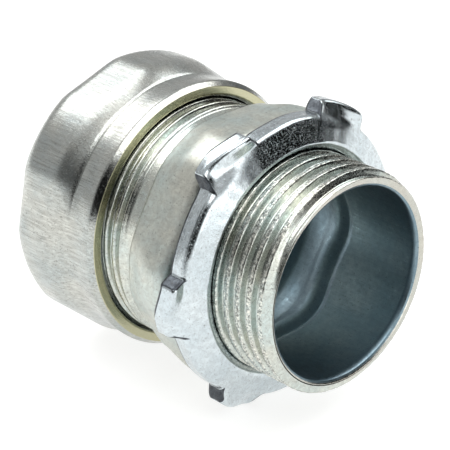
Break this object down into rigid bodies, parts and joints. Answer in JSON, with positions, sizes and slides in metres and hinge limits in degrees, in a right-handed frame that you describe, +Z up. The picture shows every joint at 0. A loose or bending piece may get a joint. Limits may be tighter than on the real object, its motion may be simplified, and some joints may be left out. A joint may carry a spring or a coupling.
{
  "type": "conduit compression fitting",
  "caption": "Straight steel compression connector: threaded hub with locknut, hexagonal body, and a gland nut with split ring that grips thin-wall conduit.",
  "frame": {"origin": "on the axis, in the flat shoulder of the body that seats against an enclosure wall", "axes": "+X along the axis towards the threaded hub, the conduit enters from -X, +Z up"},
  "size_m": [0.0495, 0.0472, 0.045],
  "materials": {
    "zinc_body": "zinc plated, speckled thread crests",
    "zinc_locknut": "zinc plated, finely mottled",
    "zinc_nut": "zinc plated over axial brush marks",
    "zinc_ring": "zinc plated, satin"
  },
  "bodies": {
    "body": {"connector_body": "zinc_body"},
    "locknut": {"locknut": "zinc_locknut"},
    "ring": {"compression_ring": "zinc_ring"},
    "nut": {"compression_nut": "zinc_nut"}
  },
  "joints": [
    {"name": "locknut_travel", "type": "slide", "parent": "body", "child": "locknut", "axis": [1, 0, 0], "range_m": [0, 0.01325]},
    {"name": "ring_travel", "type": "slide", "parent": "body", "child": "ring", "axis": [1, 0, 0], "range_m": [-0.0092, 0.0028]},
    {"name": "nut_turn", "type": "hinge", "parent": "ring", "child": "nut", "pos_m": [-0.025, 0, 0], "axis": [1, 0, 0], "range_deg": [-1800, 540]}
  ],
  "couplings": [
    {"joint": "ring_travel", "follows": "nut_turn", "m_per_rad": 0.00028875}
  ]
}
